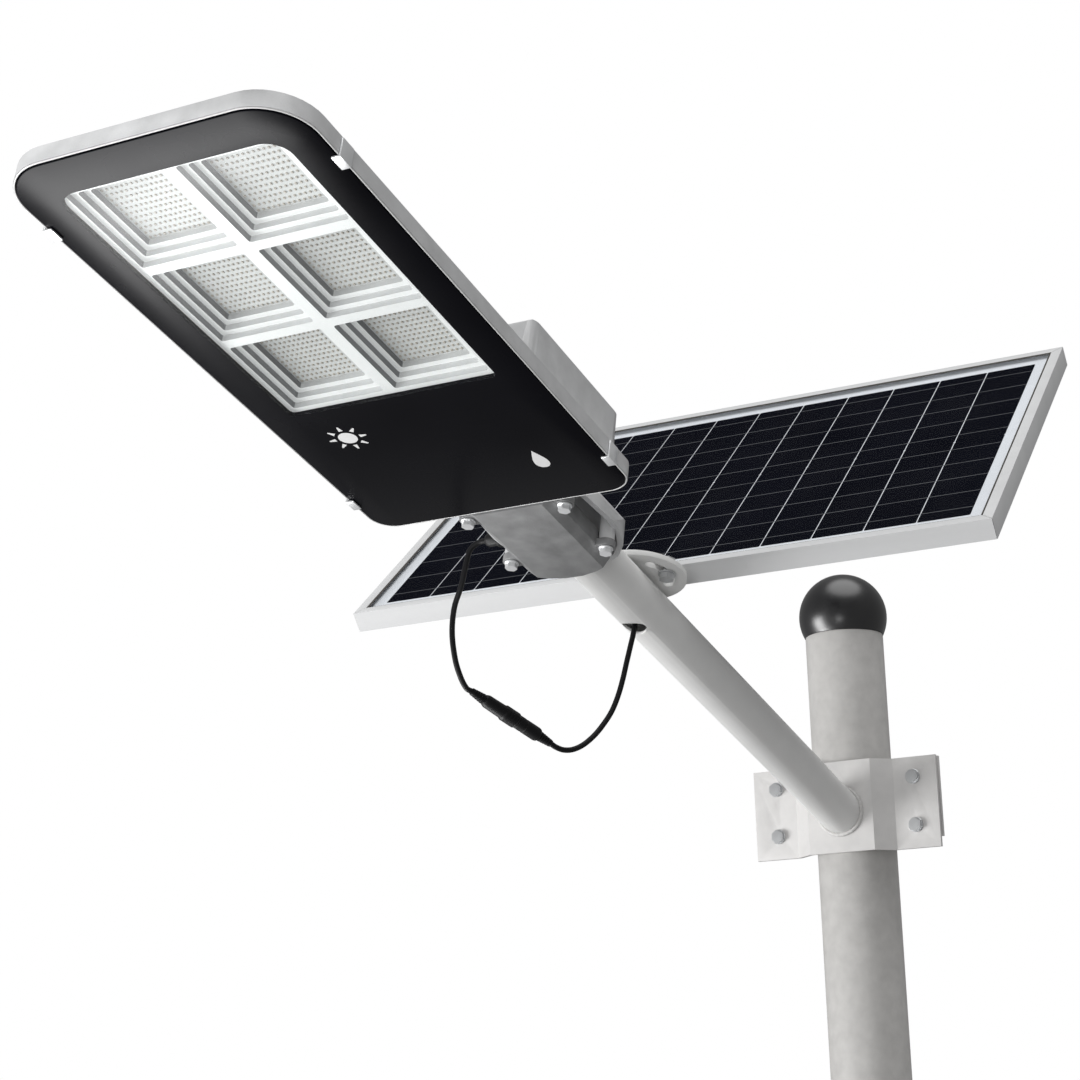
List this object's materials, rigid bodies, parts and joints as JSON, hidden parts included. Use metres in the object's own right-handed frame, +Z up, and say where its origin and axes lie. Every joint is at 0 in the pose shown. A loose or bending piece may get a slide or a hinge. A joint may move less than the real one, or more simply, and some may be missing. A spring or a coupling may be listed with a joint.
{
  "type": "solar street lamp",
  "caption": "Solar street lamp: flanged steel pole, clamped outreach arm, flat LED head behind black-bordered glass, and a solar panel on a tilting, swivelling bracket above the arm.",
  "frame": {"origin": "centre of the underside of the base flange, on the foundation", "axes": "+Z up along the pole, +X from the pole towards the lamp head, +Y to the left when looking along +X"},
  "size_m": [1.4734, 0.6636, 3.2275],
  "materials": {
    "pole_paint": "light grey powder coat, satin",
    "cap_plastic": "black, high gloss",
    "bracket_metal": "light grey, satin",
    "bolt_steel": "zinc plated",
    "clip_steel": "bright spring steel",
    "arm_paint": "white powder coat",
    "cast_grey": "grey powder coat on die casting",
    "printed_glass": "tempered, black printed border",
    "seal_rubber": "matte black",
    "lead_rubber": "matte black",
    "gland_plastic": "black nylon",
    "reflector_white": "white, satin",
    "led_board": "white board with yellowish LED chips",
    "battery_wrap": "blue shrink wrap",
    "circuit_board": "green circuit board",
    "frame_aluminium": "anodised, satin",
    "solar_glass": "clear tempered",
    "solar_cells": "dark blue-black cells with silver busbars on a white back sheet",
    "box_plastic": "black"
  },
  "bodies": {
    "pole": {"base_flange": "pole_paint", "base_gusset_1": "pole_paint", "base_gusset_2": "pole_paint", "base_gusset_3": "pole_paint", "base_gusset_4": "pole_paint", "pole_tube": "pole_paint", "pole_cap": "cap_plastic"},
    "arm": {"pole_clamp_front": "bracket_metal", "pole_clamp_rear": "bracket_metal", "clamp_bolt_1": "bolt_steel", "clamp_bolt_2": "bolt_steel", "clamp_bolt_3": "bolt_steel", "clamp_bolt_4": "bolt_steel", "clamp_nut_1": "bolt_steel", "clamp_nut_2": "bolt_steel", "clamp_nut_3": "bolt_steel", "clamp_nut_4": "bolt_steel", "saddle_bolt_1": "bolt_steel", "saddle_bolt_2": "bolt_steel", "saddle_bolt_3": "bolt_steel", "saddle_bolt_4": "bolt_steel", "glass_clip_rear_left": "clip_steel", "glass_clip_rear_right": "clip_steel", "glass_clip_front_left": "clip_steel", "glass_clip_front_right": "clip_steel", "arm_tube": "arm_paint", "turntable_plate": "arm_paint", "lamp_housing": "cast_grey", "spigot_saddle": "cast_grey", "front_glass": "printed_glass", "glass_gasket": "seal_rubber", "lamp_lead": "lead_rubber", "arm_lead": "lead_rubber", "lamp_connector": "lead_rubber", "arm_connector": "lead_rubber", "lamp_gland": "gland_plastic", "reflector_tray": "reflector_white", "led_board": "led_board", "battery_pack": "battery_wrap", "charge_controller": "circuit_board"},
    "swivel": {"swivel_bracket": "bracket_metal", "swivel_bolt_centre": "bolt_steel", "swivel_bolt_left": "bolt_steel", "swivel_bolt_right": "bolt_steel"},
    "panel": {"tilt_bracket": "bracket_metal", "pivot_bolt": "bolt_steel", "panel_rail_left": "frame_aluminium", "panel_rail_right": "frame_aluminium", "panel_frame_bottom": "frame_aluminium", "panel_frame_top": "frame_aluminium", "panel_frame_left": "frame_aluminium", "panel_frame_right": "frame_aluminium", "solar_glass": "solar_glass", "solar_cells": "solar_cells", "junction_box": "box_plastic", "junction_box_lid": "box_plastic"}
  },
  "joints": [
    {"name": "arm_swivel", "type": "hinge", "parent": "pole", "child": "arm", "pos_m": [0, 0, 2.779], "axis": [0, 0, 1], "continuous": true},
    {"name": "panel_swivel", "type": "hinge", "parent": "arm", "child": "swivel", "pos_m": [0.5716, 0, 2.94955], "axis": [-0.2463, 0, 0.9692], "range_deg": [-30, 30]},
    {"name": "panel_tilt", "type": "hinge", "parent": "swivel", "child": "panel", "pos_m": [0.4593, 0, 2.9773], "axis": [0, 1, 0], "range_deg": [-26, 1.5]}
  ]
}
